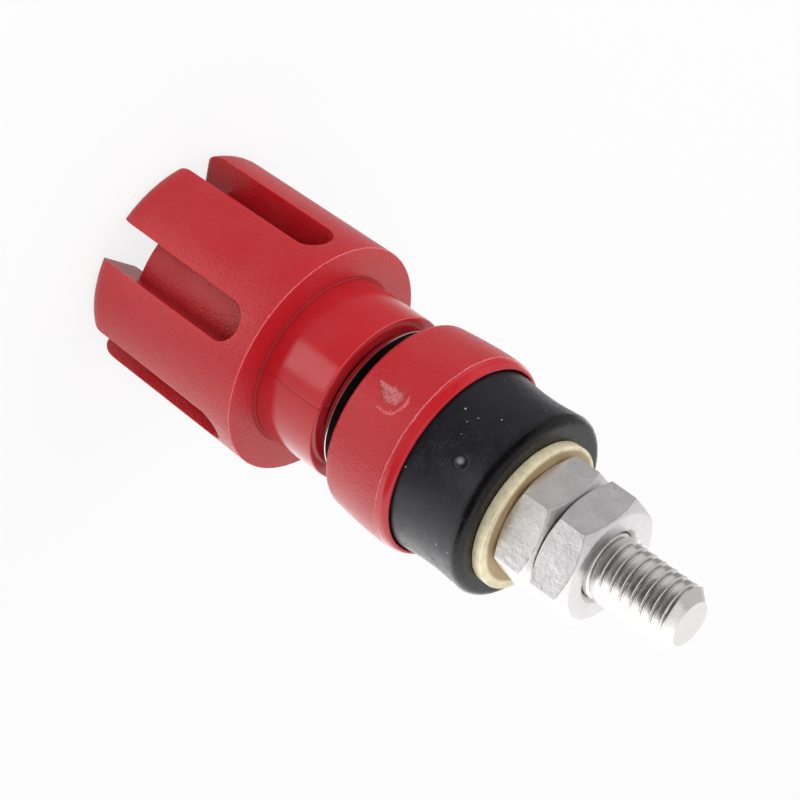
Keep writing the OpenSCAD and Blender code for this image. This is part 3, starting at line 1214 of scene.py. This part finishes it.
@dataclass
class Stage:
    """Pale floor, white surroundings and soft light.

    Attributes:
        size: side of the floor in metres.
        albedo: share of the light that the floor gives back.
        camera_white: share of plain white in the floor as the camera sees it.
        world_level: how bright the surroundings light the object.
        slope: way across the floor in which its mirrored level rises.
        slope_reach: mm along that way between which it rises.
        slope_level: its lowest level and its rise.
        front: mm in front of the axis between which the floor darkens, and by how much.
        darkest: lowest mirrored level of the floor.
        room_front: direction parts between which the front of the room darkens, and by how much.
        room_high: height parts between which that darkness ends.
        room_top: the same for the dimmer zenith.
        room_right: the same for the lighter right side.
        room_left: the same for the darker left side.
        patches: glowing spots of the floor that only mirrors see: painted reflections.
    """

    size: float = 1.2
    albedo: float = 0.86
    camera_white: float = 0.82
    world_level: float = 0.84
    slope: Point = (0.766, 0.643)
    slope_reach: Point = (-25.0, 50.0)
    slope_level: Point = (0.30, 1.9)
    front: tuple[float, float, float] = (78.0, 96.0, 0.86)
    darkest: float = 0.05
    room_front: tuple[float, float, float] = (0.05, 0.4, 0.93)
    room_high: Point = (0.76, 0.9)
    room_top: tuple[float, float, float] = (0.9, 0.99, 0.42)
    room_right: tuple[float, float, float] = (0.1, 0.8, 0.6)
    room_left: tuple[float, float, float] = (0.1, 0.7, 0.4)
    patches: tuple[Patch, ...] = (
        Patch(13, 31, 11, 2.2, 0.3),
        Patch(12, 15, 9, 2.0, 0.6),
        Patch(15, 54, 14, 0.9, 0.6),
        Patch(-76, 92, 50, 0.42, 0.3),
        Patch(-42, 60, 20, 0.35, 0.6),
        Patch(12, 80, 12, -1.4, 0.3),
    )

    def floor_level(self, g: Graph) -> Socket:
        """How bright a mirror shows each place of the floor: lighter right, dark far in front."""
        spot = g.place_mm()
        x, y, _ = g.split(spot)
        side = g.plus(g.times(x, self.slope[0]), g.times(y, self.slope[1]))
        lowest, rise = self.slope_level
        level = g.plus(lowest, g.times(g.ramp(side, *self.slope_reach), rise))
        # painted reflections: each patch lightens or darkens the floor's glow as reflections show it
        for patch in self.patches:
            away = g.add("ShaderNodeVectorMath", operation="DISTANCE")
            g.wire(spot, away.inputs[0])
            away.inputs[1].default_value = patch.centre
            fade = g.ramp(away.outputs["Value"], patch.size, patch.size * (1 - patch.soft))
            level = g.plus(level, g.times(fade, patch.gain))
        near, far, dark = self.front
        kept = g.minus(1.0, g.times(g.ramp(g.times(y, -1.0), near, far), dark))
        return g.math("MAXIMUM", g.times(level, kept), self.darkest)

    def floor(self) -> None:
        """A plain pale floor that keeps the shadow, white to the camera, and glowing with painted
        reflections where shiny pieces mirror it.
        """
        deselect()
        bpy.ops.mesh.primitive_plane_add(size=self.size, location=(0, 0, 0))
        floor = bpy.context.object
        floor.name = "floor"
        made = bpy.data.materials.new("pale_floor")
        made.use_nodes = True
        g = Graph(made.node_tree)
        shader = made.node_tree.nodes["Principled BSDF"]
        shader.inputs["Base Color"].default_value = (self.albedo, self.albedo, self.albedo, 1)
        shader.inputs["Roughness"].default_value = 0.9
        rays = g.add("ShaderNodeLightPath")
        mirrored = g.mirrored(rays)
        white = g.add("ShaderNodeEmission")
        level = self.floor_level(g)
        strength = g.plus(g.times(mirrored, level), g.minus(1.0, mirrored))
        g.wire(strength, white.inputs["Strength"])
        seen = g.times(rays.outputs["Is Camera Ray"], self.camera_white)
        mix = g.add("ShaderNodeMixShader")
        g.wire(g.math("MAXIMUM", seen, mirrored), mix.inputs[0])
        g.wire(shader.outputs[0], mix.inputs[1])
        g.wire(white.outputs[0], mix.inputs[2])
        g.wire(mix.outputs[0], made.node_tree.nodes["Material Output"].inputs["Surface"])
        floor.data.materials.append(made)

    def surroundings(self) -> None:
        """A pale world: white behind the object, and a dim room in front of it as mirrors see it."""
        world = bpy.data.worlds.new("surroundings")
        bpy.context.scene.world = world
        world.use_nodes = True
        g = Graph(world.node_tree)
        backdrop = world.node_tree.nodes["Background"]
        rays = g.add("ShaderNodeLightPath")
        mirrored = g.mirrored(rays)
        way = g.add("ShaderNodeTexCoord")
        x, y, z = g.split(way.outputs["Generated"])

        def rise(value: object, low: float, high: float, gain: float) -> Socket:
            return g.times(g.ramp(value, low, high), gain)

        low, high, dark = self.room_front
        front = g.ramp(g.times(y, -1.0), low, high)
        dim = g.times(front, g.minus(1.0, g.ramp(z, *self.room_high)))
        sides = g.minus(rise(x, *self.room_right), rise(g.times(x, -1.0), *self.room_left))
        room = g.minus(g.plus(1.0, sides), rise(z, *self.room_top))
        room = g.times(room, g.minus(1.0, g.times(dim, dark)))
        plain = g.plus(self.world_level,
                       g.times(rays.outputs["Is Camera Ray"], 1.0 - self.world_level))
        level = g.plus(g.times(mirrored, room),
                       g.times(g.minus(1.0, mirrored), plain))
        g.wire(level, backdrop.inputs["Strength"])
        backdrop.inputs["Color"].default_value = (1, 1, 1, 1)

    def lamp(self, name: str, place: Vector, aim: Vector, size: float, watts: float) -> None:
        """A square area lamp aimed at a point; places and size are in metres."""
        deselect()
        bpy.ops.object.light_add(type="AREA", location=place)
        lamp = bpy.context.object
        lamp.name = name
        lamp.data.shape, lamp.data.size, lamp.data.energy = "SQUARE", size, watts
        lamp.rotation_euler = (aim - place).to_track_quat("-Z", "Y").to_euler()
        lamp.visible_glossy = False

    def build(self) -> None:
        """Sets the stage."""
        self.floor()
        self.surroundings()
        middle = Vector((0, 0, 0.02))
        self.lamp("key", Vector((0.04, -0.38, 0.42)), middle, 0.3, 0.8)
        self.lamp("fill", Vector((-0.42, -0.08, 0.16)), middle, 0.35, 0.6)


@dataclass
class Camera:
    """The camera, at the angle from which the post is shown lying across the view."""

    lens: float = 135.0
    sensor: float = 36.0
    axis_in_view: tuple[float, float, float] = (0.71102, -0.5086, 0.48557)
    shoulder_in_view: tuple[float, float, float] = (-4.4319, 2.3018, -170.4545)
    shoulder: float = 12.35

    def build(self) -> None:
        """Places the camera so that the post's axis lies as it should in its view."""
        along = Vector(self.axis_in_view).normalized()
        toward = Vector((0, 0, 1)) - along * along.z
        front = toward.normalized()
        back = -front
        side = back.cross(along)
        view = Matrix((side, back, along)).transposed()
        turn = view.transposed()
        place = turn @ -Vector(self.shoulder_in_view) + Vector((0, 0, self.shoulder))
        deselect()
        bpy.ops.object.camera_add()
        camera = bpy.context.object
        camera.name = "camera"
        camera.data.lens, camera.data.sensor_width = self.lens, self.sensor
        camera.data.clip_start = 0.01
        camera.matrix_world = Matrix.Translation(place * MM) @ turn.to_4x4()
        bpy.context.scene.camera = camera


def main() -> None:
    """Builds the dressed binding post, its stage and its camera."""
    logging.basicConfig(level=logging.INFO, format="%(name)s: %(message)s")
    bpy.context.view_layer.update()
    bpy.context.scene.view_settings.view_transform = "Standard"
    Camera().build()
    Knob().build()
    PressureRing().build()
    Post().build()
    Collar().build()
    RearInsulator().build()
    Washer().build()
    HexNut("nut_inner", "mounting_nut", Body.MOUNTING_NUT, "nut_nickel").build()
    HexNut("nut_outer", "terminal_nut", Body.TERMINAL_NUT, "nut_nickel_outer").build()
    dress_hidden()
    Stage().build()


if __name__ == "__main__":
    main()
